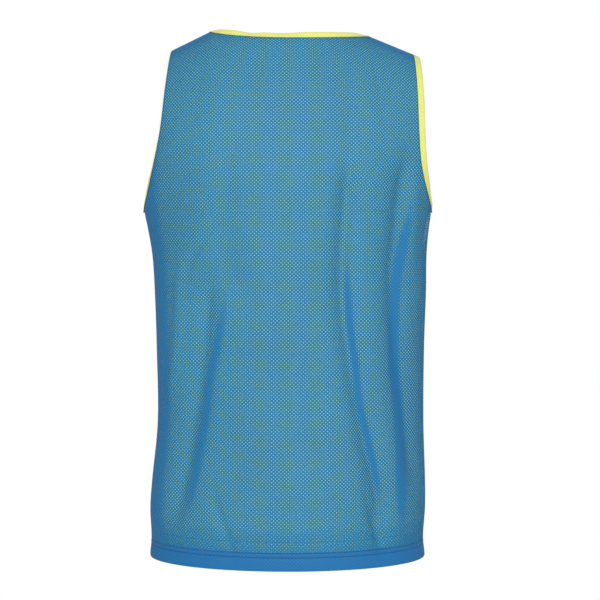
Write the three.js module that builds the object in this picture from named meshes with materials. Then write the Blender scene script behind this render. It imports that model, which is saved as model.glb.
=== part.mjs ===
// A reversible mesh training bib: two layers of knitted mesh, blue outside and yellow inside,
// bound with yellow tape at the neck and armholes. It is filled out as if worn.
// Millimetres, +Z up, the back towards -Y, the wearer's right towards +X. The origin lies between
// the neck ends of the two shoulder seams.
import * as THREE from "three";

// The cloth
const PLY = 1;
const PLY_GAP = 0.3;
const SEAM_GAP = 0.3;
const HEM_HEIGHT = 24;
const HEM_STEP = 3;
const LINING_RISE = 12;

// The tape, folded over both plies at an edge
const TAPE_WIDTH = 9;
const TAPE_OVER = 0.5;
const TAPE_ROUND = 1.2;

// Heights of the hem and of the side seam's top
const HEM_Z = -698;
const UNDERARM_Z = -232;

// Half widths and depths of the body's rings, from the hem up
const RINGS = [
  { z: -698, left: 188, right: 184, back: 118, front: 113 },
  { z: -672, left: 186.5, right: 182, back: 117, front: 112 },
  { z: -634, left: 188, right: 184.5, back: 115, front: 112 },
  { z: -597, left: 185.5, right: 184.5, back: 114, front: 112 },
  { z: -515, left: 177.5, right: 182, back: 111, front: 113 },
  { z: -417, left: 178.5, right: 182.5, back: 110, front: 116 },
  { z: -336, left: 181, right: 185, back: 112, front: 119 },
  { z: -290, left: 184, right: 185.5, back: 114, front: 121 },
  { z: -254, left: 190, right: 188.5, back: 114, front: 121 },
  { z: -232, left: 195, right: 192, back: 114, front: 121 },
];

// Each side's shoulder seam, from the neck to the armhole
const SHOULDERS = {
  left: { neckX: 104, neckZ: 8, endX: 158, endZ: -17 },
  right: { neckX: 106, neckZ: 2, endX: 169, endZ: -22.5 },
};
const SHOULDER_NECK_Y = -8;
const SHOULDER_END_Y = 2;
const SHOULDER_TURN = THREE.MathUtils.degToRad(84);

// How far out each armhole edge lies, by its rise from the underarm to the shoulder
const ARMHOLE_X = [
  { rise: 0, left: 195, right: 192 },
  { rise: 0.12, left: 187.5, right: 184.5 },
  { rise: 0.3, left: 178.5, right: 176 },
  { rise: 0.5, left: 169.5, right: 172.5 },
  { rise: 0.75, left: 163.5, right: 171 },
  { rise: 1, left: 158, right: 169 },
];

// The main folds, from low to high, as soft troughs: where each runs, how wide and how deep. They
// fade over FOLD_FADE at both ends, and at the side seams.
const BACK_FOLDS = [
  {
    depth: 8, width: 17,
    path: [
      { z: -665, x: 122 }, { z: -600, x: 119 }, { z: -527, x: 102 },
      { z: -440, x: 85 }, { z: -333, x: 71 }, { z: -190, x: 78 },
    ],
  },
  {
    depth: 7, width: 18,
    path: [
      { z: -590, x: 170 }, { z: -505, x: 159 }, { z: -418, x: 146 },
      { z: -333, x: 140 }, { z: -246, x: 146 }, { z: -165, x: 158 },
    ],
  },
  {
    depth: 4, width: 20,
    path: [{ z: -560, x: 14 }, { z: -440, x: 8 }, { z: -346, x: 4 }, { z: -220, x: 4 }],
  },
  {
    depth: 6, width: 18,
    path: [{ z: -640, x: -152 }, { z: -527, x: -130 }, { z: -418, x: -114 }, { z: -333, x: -106 }],
  },
  {
    depth: 4, width: 20,
    path: [{ z: -350, x: -66 }, { z: -268, x: -84 }, { z: -160, x: -80 }],
  },
];
const FRONT_FOLDS = [
  {
    depth: 7, width: 18,
    path: [{ z: -650, x: -118 }, { z: -527, x: -104 }, { z: -400, x: -82 }, { z: -230, x: -72 }],
  },
  {
    depth: 6, width: 18,
    path: [{ z: -600, x: 150 }, { z: -470, x: 132 }, { z: -350, x: 118 }, { z: -240, x: 124 }],
  },
  {
    depth: 4, width: 20,
    path: [{ z: -600, x: 22 }, { z: -470, x: 30 }, { z: -330, x: 16 }],
  },
];
const FOLD_FADE = 70;
const FOLD_END_POWER = 12;

// The two halves of the body. The neck's edge dips to its middle, where the cloth has turned over by
// neckTurn, against SHOULDER_TURN at the shoulders. Flatness says how much the yoke flattens
// towards each armhole, and armholeHollow how much deeper the armholes are cut.
const BACK = {
  side: -1, depth: "back", folds: BACK_FOLDS, neckY: -54, neckZ: -3.5, neckPower: 1.2,
  neckTurn: THREE.MathUtils.degToRad(67),
  flatness: { left: 80, right: 95 }, armholeHollow: 0,
};
const FRONT = {
  side: 1, depth: "front", folds: FRONT_FOLDS, neckY: 88, neckZ: -84, neckPower: 1.7,
  neckTurn: THREE.MathUtils.degToRad(40),
  flatness: { left: 76, right: 80 }, armholeHollow: 10,
};

// The grid of a panel: columns across, and rows up
const COLUMNS = 32;
const NECK_SHARE = 20 / 32;
const NECK_POINTED = 0.25;
const YOKE_ROWS = 10;
const BODY_ROWS = 8;
const EDGE_ROUND = 0.55;
const EDGE_SPREAD = 1.4;
const STEP = 1e-4;

const BODY = UNDERARM_Z - HEM_Z;

const BLUE_MESH = { color: 0x2f78b4, roughness: 0.75, metalness: 0 };
const YELLOW_MESH = { color: 0xdcdf6a, roughness: 0.8, metalness: 0 };
const YELLOW_TAPE = { color: 0xe8e97a, roughness: 0.7, metalness: 0 };

// A column of a table at a place between its rows, smooth from row to row
function smooth(table, by, column, at) {
  const last = table.length - 1;
  let i = 0;
  while (i < last - 1 && at > table[i + 1][by]) {
    i += 1;
  }
  const [before, from, to, after] = [
    table[Math.max(i - 1, 0)], table[i], table[i + 1], table[Math.min(i + 2, last)],
  ];
  const span = to[by] - from[by];
  const t = THREE.MathUtils.clamp((at - from[by]) / span, 0, 1);
  const slopeFrom = ((to[column] - before[column]) / (to[by] - before[by])) * span;
  const slopeTo = ((after[column] - from[column]) / (after[by] - from[by])) * span;
  const rise = to[column] - from[column];
  return from[column] + t * (slopeFrom + t * (3 * rise - 2 * slopeFrom - slopeTo
    + t * (slopeFrom + slopeTo - 2 * rise)));
}

const sideOf = (across) => (across < 0 ? "left" : "right");

// A point of the body's ring at a height, across from -1 at the left seam to 1 at the right one.
// The columns lie at nearly even steps along the ellipse.
function ringPoint(panel, across, z) {
  const half = smooth(RINGS, "z", sideOf(across), z);
  const depth = smooth(RINGS, "z", panel.depth, z);
  const turn = (across * Math.PI) / 2;
  const angle = turn - ((half - depth) / (half + depth) / 2) * Math.sin(2 * turn);
  const point = new THREE.Vector3(half * Math.sin(angle), panel.side * depth * Math.cos(angle), z);
  const outward = new THREE.Vector3(Math.sin(angle) / half, (panel.side * Math.cos(angle)) / depth, 0);
  return { point, outward: outward.normalize() };
}

// A panel's top edge, the shoulder seams and the neck between them, and how far the cloth has
// turned over from upright there
function topEdge(panel, across) {
  const side = SHOULDERS[sideOf(across)];
  const [sign, along] = [Math.sign(across), Math.abs(across)];
  if (along >= NECK_SHARE) {
    const out = (along - NECK_SHARE) / (1 - NECK_SHARE);
    const point = new THREE.Vector3(
      sign * THREE.MathUtils.lerp(side.neckX, side.endX, out),
      THREE.MathUtils.lerp(SHOULDER_NECK_Y, SHOULDER_END_Y, out),
      THREE.MathUtils.lerp(side.neckZ, side.endZ, out),
    );
    return { point, turn: SHOULDER_TURN };
  }
  const round = ((along / NECK_SHARE) * Math.PI) / 2;
  const middle = Math.cos(round);
  const point = new THREE.Vector3(
    sign * side.neckX * THREE.MathUtils.lerp(Math.sin(round), along / NECK_SHARE, NECK_POINTED),
    THREE.MathUtils.lerp(SHOULDER_NECK_Y, panel.neckY, middle),
    THREE.MathUtils.lerp(side.neckZ, panel.neckZ, middle ** panel.neckPower),
  );
  return { point, turn: THREE.MathUtils.lerp(SHOULDER_TURN, panel.neckTurn, middle) };
}

// A point of the yoke, by its rise from the underarm to its top edge. The cloth stands up at the
// underarm and turns over towards the shoulders. Towards the armholes it flattens out, and the
// edge itself is an egg seen from the side.
function yokePoint(panel, across, rise) {
  const [name, sign] = [sideOf(across), across < 0 ? -1 : 1];
  const base = ringPoint(panel, across, UNDERARM_Z).point;
  const { point: top, turn } = topEdge(panel, across);
  const bend = Math.sin(turn);
  const turned = (1 - Math.sqrt(1 - (bend * rise) ** 2)) / (1 - Math.cos(turn));
  const nearEdge = across ** 2;
  const spread = EDGE_ROUND + EDGE_SPREAD * (1 - Math.abs(across));
  const flattened = panel.side * panel.flatness[name] * ((2 * rise) / (1 + rise)) ** spread;
  const hollow = panel.armholeHollow * Math.sin(Math.PI * rise);
  const straight = THREE.MathUtils.lerp(ARMHOLE_X[0][name], ARMHOLE_X.at(-1)[name], rise);
  const edge = smooth(ARMHOLE_X, "rise", name, rise) - hollow - straight;
  return new THREE.Vector3(
    THREE.MathUtils.lerp(base.x, top.x, rise) + sign * edge * nearEdge,
    THREE.MathUtils.lerp(base.y + flattened * nearEdge, top.y, turned),
    THREE.MathUtils.lerp(base.z, top.z, rise),
  );
}

// How far the folds push the cloth in at a place
function foldDepth(panel, x, z) {
  let depth = 0;
  for (const fold of panel.folds) {
    const [low, high] = [fold.path[0].z, fold.path.at(-1).z];
    const inside = Math.min(z - low, high - z) / FOLD_FADE + 0.5;
    const strength = THREE.MathUtils.smoothstep(inside, 0, 1);
    const off = (x - smooth(fold.path, "z", "x", z)) / fold.width;
    depth += fold.depth * strength * Math.exp(-off * off);
  }
  return depth;
}

// A point of a panel's outer ply. Level goes from 0 at the hem to 1 at the underarm and 2 at the top.
function panelPoint(panel, across, level) {
  const rise = (1 - Math.cos(Math.PI * (level - 1))) / 2;
  const z = HEM_Z + BODY * Math.min(level, 1);
  const ring = ringPoint(panel, across, z);
  const point = level <= 1 ? ring.point : yokePoint(panel, across, rise);
  const seamFade = 1 - Math.abs(across) ** FOLD_END_POWER;
  return point.addScaledVector(ring.outward, -seamFade * foldDepth(panel, point.x, point.z));
}

// The outward direction of a panel's cloth at a place
function panelNormal(panel, across, level) {
  const right = panelPoint(panel, Math.min(across + STEP, 1), level);
  const left = panelPoint(panel, Math.max(across - STEP, -1), level);
  const above = panelPoint(panel, across, level > 1 ? Math.min(level + STEP, 2) : level);
  const below = panelPoint(panel, across, Math.max(level - STEP, level > 1 ? 1 : 0));
  if (level === 0) {
    above.copy(panelPoint(panel, across, STEP));
  }
  return right.sub(left).cross(above.sub(below)).multiplyScalar(-panel.side).normalize();
}

// The outward direction that a wall or tape uses. Where the halves are sewn together they share it.
function clothNormal(panel, across, level) {
  const out = Math.abs(across);
  const sewn = level <= 1 ? out === 1 : level === 2 && out >= NECK_SHARE;
  const normal = new THREE.Vector3();
  for (const half of sewn ? [BACK, FRONT] : [panel]) {
    normal.add(panelNormal(half, across, level));
  }
  return normal.normalize();
}

// The levels of a panel's rows, from a height over the hem up to the neck
function rowLevels(from) {
  const levels = [0, LINING_RISE, HEM_HEIGHT, HEM_HEIGHT + HEM_STEP]
    .filter((height) => height >= from)
    .map((height) => height / BODY);
  const hemTop = levels.at(-1);
  for (let i = 1; i <= BODY_ROWS; i += 1) {
    levels.push(THREE.MathUtils.lerp(hemTop, 1, i / BODY_ROWS));
  }
  for (let i = 1; i <= YOKE_ROWS; i += 1) {
    levels.push(1 + i / YOKE_ROWS);
  }
  return levels;
}

// A closed body from rows of points: its outer skin, its inner skin and the rim between them.
// Faces point out where the rows run to the right and up as seen from outside.
function wall(outer, inner) {
  const [rows, columns] = [outer.length, outer[0].length];
  const vertices = [...outer.flat(), ...inner.flat()];
  const indices = [];
  const quad = (a, b, c, d) => indices.push(a, b, c, a, c, d);
  const place = (row, column) => row * columns + column;
  const inside = rows * columns;
  for (let r = 0; r < rows - 1; r += 1) {
    for (let c = 0; c < columns - 1; c += 1) {
      const [low, right, far, left] = [
        place(r, c), place(r, c + 1), place(r + 1, c + 1), place(r + 1, c),
      ];
      quad(low, right, far, left);
      quad(low + inside, left + inside, far + inside, right + inside);
    }
  }
  const rim = [];
  for (let c = 0; c < columns - 1; c += 1) {
    rim.push(place(0, c));
  }
  for (let r = 0; r < rows - 1; r += 1) {
    rim.push(place(r, columns - 1));
  }
  for (let c = columns - 1; c > 0; c -= 1) {
    rim.push(place(rows - 1, c));
  }
  for (let r = rows - 1; r > 0; r -= 1) {
    rim.push(place(r, 0));
  }
  rim.forEach((a, i) => {
    const b = rim[(i + 1) % rim.length];
    quad(a, a + inside, b + inside, b);
  });
  return solid(vertices, indices);
}

function solid(vertices, indices) {
  const geometry = new THREE.BufferGeometry().setFromPoints(vertices);
  geometry.setIndex(indices);
  geometry.computeVertexNormals();
  return geometry;
}

// One ply of a panel between two depths under its face, each worked out from the height over the hem
function ply(panel, from, faceDepth, backDepth) {
  const skin = (depth) => rowLevels(from).map((level) => {
    const row = [];
    for (let c = 0; c <= COLUMNS; c += 1) {
      const across = panel.side * (1 - (2 * c) / COLUMNS);
      const normal = clothNormal(panel, across, level);
      row.push(panelPoint(panel, across, level).addScaledVector(normal, -depth(level * BODY)));
    }
    return row;
  });
  return wall(skin(faceDepth), skin(backDepth));
}

const inHem = (height) => height <= HEM_HEIGHT + SEAM_GAP;
const outerFace = (height) => (inHem(height) ? -PLY_GAP : 0);
const outerBack = (height) => (inHem(height) ? 2 * PLY : PLY);
const liningFace = (height) => PLY_GAP + (height <= HEM_HEIGHT + HEM_STEP + SEAM_GAP ? 2 * PLY : PLY);
const liningBack = (height) => liningFace(height) + PLY;

// The stations of an edge that a tape follows: a point, the cloth's outward direction there, and
// the direction that leads off the cloth. The neighbours of a point give the edge's own direction.
function tapeStations(places) {
  const stations = places.map(({ panel, across, level }) => ({
    point: panelPoint(panel, across, level),
    normal: clothNormal(panel, across, level),
  }));
  stations.forEach((station, i) => {
    const next = stations[(i + 1) % stations.length].point;
    const along = next.clone().sub(stations.at(i - 1).point);
    station.off = station.normal.clone().cross(along).normalize();
  });
  return stations;
}

// A folded tape round a closed edge: a flat bar with a rounded outer edge that closes on itself.
// Its inner side has a corner at each face of the plies, so that it follows them evenly.
function tape(places) {
  const under = -(2 * PLY + PLY_GAP);
  const [face, back] = [TAPE_OVER, under - TAPE_OVER];
  const outer = SEAM_GAP + TAPE_WIDTH;
  const section = [
    { off: SEAM_GAP, out: face },
    { off: outer - TAPE_ROUND, out: face },
    { off: outer, out: face - TAPE_ROUND },
    { off: outer, out: back + TAPE_ROUND },
    { off: outer - TAPE_ROUND, out: back },
    { off: SEAM_GAP, out: back },
    { off: SEAM_GAP, out: under },
    { off: SEAM_GAP, out: under + PLY },
    { off: SEAM_GAP, out: -PLY },
    { off: SEAM_GAP, out: 0 },
  ];
  const stations = tapeStations(places);
  const vertices = stations.flatMap((station) => section.map((corner) => station.point.clone()
    .addScaledVector(station.off, corner.off)
    .addScaledVector(station.normal, corner.out)));
  const indices = [];
  const place = (i, k) => (i % stations.length) * section.length + (k % section.length);
  for (let i = 0; i < stations.length; i += 1) {
    for (let k = 0; k < section.length; k += 1) {
      const [a, b, c, d] = [place(i, k), place(i, k + 1), place(i + 1, k + 1), place(i + 1, k)];
      indices.push(a, c, b, a, d, c);
    }
  }
  return solid(vertices, indices);
}

// The neck's edge: along the back from left to right, then back along the front
function neckPlaces() {
  const half = (COLUMNS * NECK_SHARE) / 2;
  const places = [];
  for (let c = -half; c < half; c += 1) {
    places.push({ panel: BACK, across: (2 * c) / COLUMNS, level: 2 });
  }
  for (let c = half; c > -half; c -= 1) {
    places.push({ panel: FRONT, across: (2 * c) / COLUMNS, level: 2 });
  }
  return places;
}

// An armhole's edge: up one panel from the underarm and down the other
function armholePlaces(across, up, down) {
  const places = [];
  for (let i = 0; i < YOKE_ROWS; i += 1) {
    places.push({ panel: up, across, level: 1 + i / YOKE_ROWS });
  }
  for (let i = YOKE_ROWS; i > 0; i -= 1) {
    places.push({ panel: down, across, level: 1 + i / YOKE_ROWS });
  }
  return places;
}

const bib = new THREE.Group();

function add(name, geometry, finish, shiftY = 0) {
  const mesh = new THREE.Mesh(geometry, new THREE.MeshStandardMaterial(finish));
  mesh.name = name;
  mesh.position.y = shiftY;
  bib.add(mesh);
}

// The two halves stand a seam's gap apart
for (const [name, panel] of [["back", BACK], ["front", FRONT]]) {
  const shift = (panel.side * SEAM_GAP) / 2;
  add(`${name}_panel`, ply(panel, 0, outerFace, outerBack), BLUE_MESH, shift);
  add(`${name}_lining`, ply(panel, LINING_RISE, liningFace, liningBack), YELLOW_MESH, shift);
}
add("neck_binding", tape(neckPlaces()), YELLOW_TAPE);
add("left_armhole_binding", tape(armholePlaces(-1, BACK, FRONT)), YELLOW_TAPE);
add("right_armhole_binding", tape(armholePlaces(1, FRONT, BACK)), YELLOW_TAPE);

export default bib;
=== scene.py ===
"""The looks of a reversible mesh training bib, filled out as worn: two layers of knitted net with
real holes, a turned-up hem on each, folded tapes round the neck and armholes, and the sewing.

Sizes are in millimetres up to the making of each mesh, which turns them into metres. Materials,
light and camera are in metres. The back is towards -Y, +Z is up, and the form is the one that the
CAD solids have.
"""

import math
from collections import namedtuple

import bpy
import numpy as np
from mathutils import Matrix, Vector


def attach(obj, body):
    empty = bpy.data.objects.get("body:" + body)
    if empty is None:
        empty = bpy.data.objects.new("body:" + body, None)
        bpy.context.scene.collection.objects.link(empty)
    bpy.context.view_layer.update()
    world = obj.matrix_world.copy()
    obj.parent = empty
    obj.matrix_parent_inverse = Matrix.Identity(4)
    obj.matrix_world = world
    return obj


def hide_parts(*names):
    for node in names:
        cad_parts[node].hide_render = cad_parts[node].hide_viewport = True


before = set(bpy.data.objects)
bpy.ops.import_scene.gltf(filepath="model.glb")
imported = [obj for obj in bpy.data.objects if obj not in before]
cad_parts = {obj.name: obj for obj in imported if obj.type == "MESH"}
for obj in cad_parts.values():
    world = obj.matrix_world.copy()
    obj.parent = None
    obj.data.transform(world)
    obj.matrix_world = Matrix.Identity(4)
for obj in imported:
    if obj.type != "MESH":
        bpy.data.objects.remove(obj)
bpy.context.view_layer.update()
MM = 0.001
BODY_NAME = "root"

# The form of the CAD solids
HEM_Z = -698
UNDERARM_Z = -232
BODY = UNDERARM_Z - HEM_Z

Ring = namedtuple("Ring", "z left right back front")
RINGS = [
    Ring(-698, 188, 184, 118, 113),
    Ring(-672, 186.5, 182, 117, 112),
    Ring(-634, 188, 184.5, 115, 112),
    Ring(-597, 185.5, 184.5, 114, 112),
    Ring(-515, 177.5, 182, 111, 113),
    Ring(-417, 178.5, 182.5, 110, 116),
    Ring(-336, 181, 185, 112, 119),
    Ring(-290, 184, 185.5, 114, 121),
    Ring(-254, 190, 188.5, 114, 121),
    Ring(-232, 195, 192, 114, 121),
]

Shoulder = namedtuple("Shoulder", "neck_x neck_z end_x end_z")
LEFT_SHOULDER = Shoulder(104, 8, 158, -17)
RIGHT_SHOULDER = Shoulder(106, 2, 169, -22.5)
SHOULDER_NECK_Y = -8
SHOULDER_END_Y = 2
SHOULDER_TURN = math.radians(84)

Edge = namedtuple("Edge", "rise left right")
ARMHOLE_X = [
    Edge(0, 195, 192),
    Edge(0.12, 187.5, 184.5),
    Edge(0.3, 178.5, 176),
    Edge(0.5, 169.5, 172.5),
    Edge(0.75, 163.5, 171),
    Edge(1, 158, 169),
]

# The folds, from low to high. A negative depth is a ridge.
Place = namedtuple("Place", "z x")
Fold = namedtuple("Fold", "depth width path")
BACK_FOLDS = [
    Fold(8, 17, [
        Place(-665, 122), Place(-600, 119), Place(-527, 102),
        Place(-440, 85), Place(-333, 71), Place(-190, 78),
    ]),
    Fold(7, 18, [
        Place(-590, 170), Place(-505, 159), Place(-418, 146),
        Place(-333, 140), Place(-246, 146), Place(-165, 158),
    ]),
    Fold(4, 20, [Place(-560, 14), Place(-440, 8), Place(-346, 4), Place(-220, 4)]),
    Fold(6, 18, [Place(-640, -152), Place(-527, -130), Place(-418, -114), Place(-333, -106)]),
    Fold(4, 20, [Place(-350, -66), Place(-268, -84), Place(-160, -80)]),
]
FRONT_FOLDS = [
    Fold(7, 18, [Place(-650, -118), Place(-527, -104), Place(-400, -82), Place(-230, -72)]),
    Fold(6, 18, [Place(-600, 150), Place(-470, 132), Place(-350, 118), Place(-240, 124)]),
    Fold(4, 20, [Place(-600, 22), Place(-470, 30), Place(-330, 16)]),
]
# Small creases that only the cloth has
BACK_CREASES = [
    Fold(2.5, 8, BACK_FOLDS[0].path),
    Fold(2.5, 9, BACK_FOLDS[1].path),
    Fold(2, 8, BACK_FOLDS[3].path),
    Fold(2.5, 7, [Place(-672, -74), Place(-640, -86), Place(-605, -98)]),
    Fold(2, 6, [Place(-668, 122), Place(-640, 113), Place(-600, 103)]),
    Fold(1.5, 9, [Place(-600, 66), Place(-560, 42), Place(-525, 22)]),
    Fold(2.5, 12, [Place(-215, 76), Place(-150, 80), Place(-75, 87)]),
    Fold(-2.5, 8, [Place(-290, 163), Place(-230, 166), Place(-180, 168)]),
    Fold(-2.5, 8, [Place(-465, -157), Place(-417, -150), Place(-305, -142)]),
    Fold(1.5, 7, [Place(-330, -140), Place(-290, -125), Place(-250, -100)]),
]
FRONT_CREASES = [
    Fold(2.5, 7, [Place(-670, 66), Place(-640, 78), Place(-600, 88)]),
    Fold(2, 7, [Place(-665, -104), Place(-630, -96), Place(-595, -82)]),
    Fold(1.5, 9, [Place(-590, -40), Place(-550, -28), Place(-510, -6)]),
    Fold(-2.5, 8, [Place(-450, 158), Place(-400, 152), Place(-310, 146)]),
    Fold(2, 10, [Place(-260, -128), Place(-215, -118), Place(-160, -112)]),
]
# Streaks where the nets stand apart, and the outer one's holes are drawn shut
Streak = namedtuple("Streak", "strength width path")
BACK_STREAKS = [
    Streak(0.66, 6.5, [
        Place(-670, 126), Place(-593, 117), Place(-542, 106), Place(-474, 91),
        Place(-432, 87), Place(-383, 80), Place(-309, 75.5), Place(-245, 75),
    ]),
    Streak(0.68, 9.5, [
        Place(-706, 150), Place(-575, 149), Place(-506, 146), Place(-432, 139),
        Place(-350, 139.5), Place(-301, 145), Place(-240, 158), Place(-170, 169),
    ]),
    Streak(0.52, 9, [
        Place(-690, -150), Place(-583, -123), Place(-540, -115), Place(-494, -107),
        Place(-444, -101), Place(-413, -94), Place(-349, -83.5), Place(-280, -80),
    ]),
]
FRONT_STREAKS = [
    Streak(0.64, 7, [Place(-650, -118), Place(-527, -104), Place(-400, -82), Place(-260, -72)]),
    Streak(0.5, 9, [Place(-620, 152), Place(-470, 132), Place(-350, 118), Place(-240, 124)]),
]
FOLD_FADE = 70
FOLD_END_POWER = 12

Half = namedtuple("Half", "side depth folds streaks neck_y neck_z neck_power neck_turn flat hollow")
BACK = Half(
    -1, "back", BACK_FOLDS + BACK_CREASES, BACK_STREAKS, -54, -3.5, 1.2, math.radians(67), (80, 95), 0,
)
FRONT = Half(
    1, "front", FRONT_FOLDS + FRONT_CREASES, FRONT_STREAKS, 88, -84, 1.7, math.radians(40), (76, 80), 10,
)

NECK_SHARE = 20 / 32
NECK_POINTED = 0.25
EDGE_ROUND = 0.55
EDGE_SPREAD = 1.4
STEP = 1e-4

# The nets: holes in staggered rows, given by the spacing in a row and of every second row, and the
# size of a hole. The holes of the lining lie between those of the net in front of it.
Weave = namedtuple("Weave", "across up wide high shift")
OUTER = Weave(4.85, 4.7, 1.9, 1.82, 0)
INNER = Weave(4.85, 4.7, 1.8, 1.7, 2.42)

# Holes are shut where they would be narrower than this share of their size, and this near to the
# net's lower end, its other edges and a side seam
CLOSED_SIZE = 0.2
CLOSED_LOW = 0.8
CLOSED_EDGE = 3
CLOSED_SIDE = 8
# Quads under this many square millimetres are left out
LEAST_FACE = 0.02

# Depths of the cloths under the CAD face, and the hems
NET_DEPTH = 0.3
LINING_DEPTH = 0.85
LINING_LOW_DEPTH = 1.75
LINING_RISE = 20
HEM_HEIGHT = 24
NET_LOW = HEM_HEIGHT + 0.6
LINING_LOW = 12
LINING_HEM_HEIGHT = 26
LINING_HEM_TOP = LINING_LOW + LINING_HEM_HEIGHT
LINING_NET_LOW = LINING_HEM_TOP + 0.2

# Sections of the hems, going down outside, round the fold and up inside
Spot = namedtuple("Spot", "height depth")
HEM_SECTION = [
    Spot(24.6, 0.3), Spot(24.0, 0.45), Spot(23.4, 0.75), Spot(22.7, 0.25), Spot(21.6, -0.25),
    Spot(20.4, -0.5), Spot(19.2, -0.35), Spot(18.2, 0.1), Spot(17.5, 0.55), Spot(16.8, 0.1),
    Spot(15.6, -0.35), Spot(11.0, -0.55), Spot(7.5, -0.6), Spot(4.0, -0.6), Spot(2.0, -0.5),
    Spot(0.9, -0.25), Spot(0.3, 0.15), Spot(0.05, 0.65), Spot(0.3, 1.15), Spot(0.9, 1.5),
    Spot(2.5, 1.7), Spot(8.0, 1.7), Spot(15.8, 1.5), Spot(17.5, 1.2), Spot(19.2, 1.5),
    Spot(21.6, 1.5), Spot(23.4, 1.2), Spot(24.6, 1.4),
]
LINING_HEM_SECTION = [
    Spot(38.2, 1.75), Spot(37.6, 2.0), Spot(37.0, 1.8), Spot(35.0, 1.75), Spot(32.0, 1.9),
    Spot(29.0, 2.3), Spot(25.0, 2.5), Spot(20.0, 2.6), Spot(15.0, 2.6), Spot(13.5, 2.65),
    Spot(12.6, 2.8), Spot(12.1, 3.1), Spot(12.6, 3.4), Spot(14.0, 3.5), Spot(25.0, 3.4),
    Spot(32.0, 2.9), Spot(36.5, 2.6), Spot(37.6, 2.3), Spot(38.4, 2.5),
]


def smooth(table, by, column, at):
    """A column of a table at places between its rows, smooth from row to row."""
    keys = np.array([getattr(row, by) for row in table], float)
    values = np.array([getattr(row, column) for row in table], float)
    i = np.searchsorted(keys[1:-1], at)
    before = np.maximum(i - 1, 0)
    after = np.minimum(i + 2, len(keys) - 1)
    span = keys[i + 1] - keys[i]
    t = np.clip((at - keys[i]) / span, 0, 1)
    start = (values[i + 1] - values[before]) / (keys[i + 1] - keys[before]) * span
    end = (values[after] - values[i]) / (keys[after] - keys[i]) * span
    rise = values[i + 1] - values[i]
    return values[i] + t * (start + t * (3 * rise - 2 * start - end + t * (start + end - 2 * rise)))


def smoothstep(low, high, value):
    t = np.clip((value - low) / (high - low), 0, 1)
    return t * t * (3 - 2 * t)


def mix(a, b, t):
    return a + (b - a) * t


def unit(vectors):
    return vectors / np.maximum(np.linalg.norm(vectors, axis=-1, keepdims=True), 1e-12)


def side_value(across, left, right):
    return np.where(across < 0, left, right)


def ring_point(panel, across, z):
    """A point of the body's ring at a height, and the way out from it. Across goes from -1 to 1."""
    half = side_value(across, smooth(RINGS, "z", "left", z), smooth(RINGS, "z", "right", z))
    depth = smooth(RINGS, "z", panel.depth, z)
    turn = across * math.pi / 2
    angle = turn - (half - depth) / (half + depth) / 2 * np.sin(2 * turn)
    level = np.zeros_like(half)
    point = np.stack([half * np.sin(angle), panel.side * depth * np.cos(angle), z + level], -1)
    outward = np.stack([np.sin(angle) / half, panel.side * np.cos(angle) / depth, level], -1)
    return point, unit(outward)


def top_edge(panel, across):
    """A panel's top edge, and how far the cloth has turned over from upright there."""
    sign = np.sign(across)
    along = np.abs(across)
    end = {
        key: side_value(across, getattr(LEFT_SHOULDER, key), getattr(RIGHT_SHOULDER, key))
        for key in Shoulder._fields
    }
    out = np.clip((along - NECK_SHARE) / (1 - NECK_SHARE), 0, 1)
    seam = np.stack([
        sign * mix(end["neck_x"], end["end_x"], out),
        mix(SHOULDER_NECK_Y, SHOULDER_END_Y, out),
        mix(end["neck_z"], end["end_z"], out),
    ], -1)
    inside = np.minimum(along / NECK_SHARE, 1)
    middle = np.cos(inside * math.pi / 2)
    neck = np.stack([
        sign * end["neck_x"] * mix(np.sin(inside * math.pi / 2), inside, NECK_POINTED),
        mix(SHOULDER_NECK_Y, panel.neck_y, middle),
        mix(end["neck_z"], panel.neck_z, middle ** panel.neck_power),
    ], -1)
    on_seam = along >= NECK_SHARE
    turn = np.where(on_seam, SHOULDER_TURN, mix(SHOULDER_TURN, panel.neck_turn, middle))
    return np.where(on_seam[..., None], seam, neck), turn


def yoke_point(panel, across, rise):
    """A point between the underarm, at rise 0, and the top edge, at rise 1."""
    sign = np.where(across < 0, -1, 1)
    base, _ = ring_point(panel, across, np.full_like(across, UNDERARM_Z))
    top, turn = top_edge(panel, across)
    turned = (1 - np.sqrt(1 - (np.sin(turn) * rise) ** 2)) / (1 - np.cos(turn))
    near_edge = across ** 2
    spread = EDGE_ROUND + EDGE_SPREAD * (1 - np.abs(across))
    flat = side_value(across, *panel.flat)
    flattened = panel.side * flat * (2 * rise / (1 + rise)) ** spread
    first, last = ARMHOLE_X[0], ARMHOLE_X[-1]
    edge_x = side_value(
        across, smooth(ARMHOLE_X, "rise", "left", rise), smooth(ARMHOLE_X, "rise", "right", rise)
    )
    straight = side_value(
        across, mix(first.left, last.left, rise), mix(first.right, last.right, rise)
    )
    edge = edge_x - panel.hollow * np.sin(math.pi * rise) - straight
    return np.stack([
        mix(base[..., 0], top[..., 0], rise) + sign * edge * near_edge,
        mix(base[..., 1] + flattened * near_edge, top[..., 1], turned),
        mix(base[..., 2], top[..., 2], rise),
    ], -1)


def fold_depth(folds, x, z):
    """How far the folds push the cloth in."""
    depth = np.zeros_like(x)
    for fold in folds:
        low, high = fold.path[0].z, fold.path[-1].z
        inside = np.minimum(z - low, high - z) / FOLD_FADE + 0.5
        off = (x - smooth(fold.path, "z", "x", z)) / fold.width
        depth += fold.depth * smoothstep(0, 1, inside) * np.exp(-off * off)
    return depth


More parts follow.
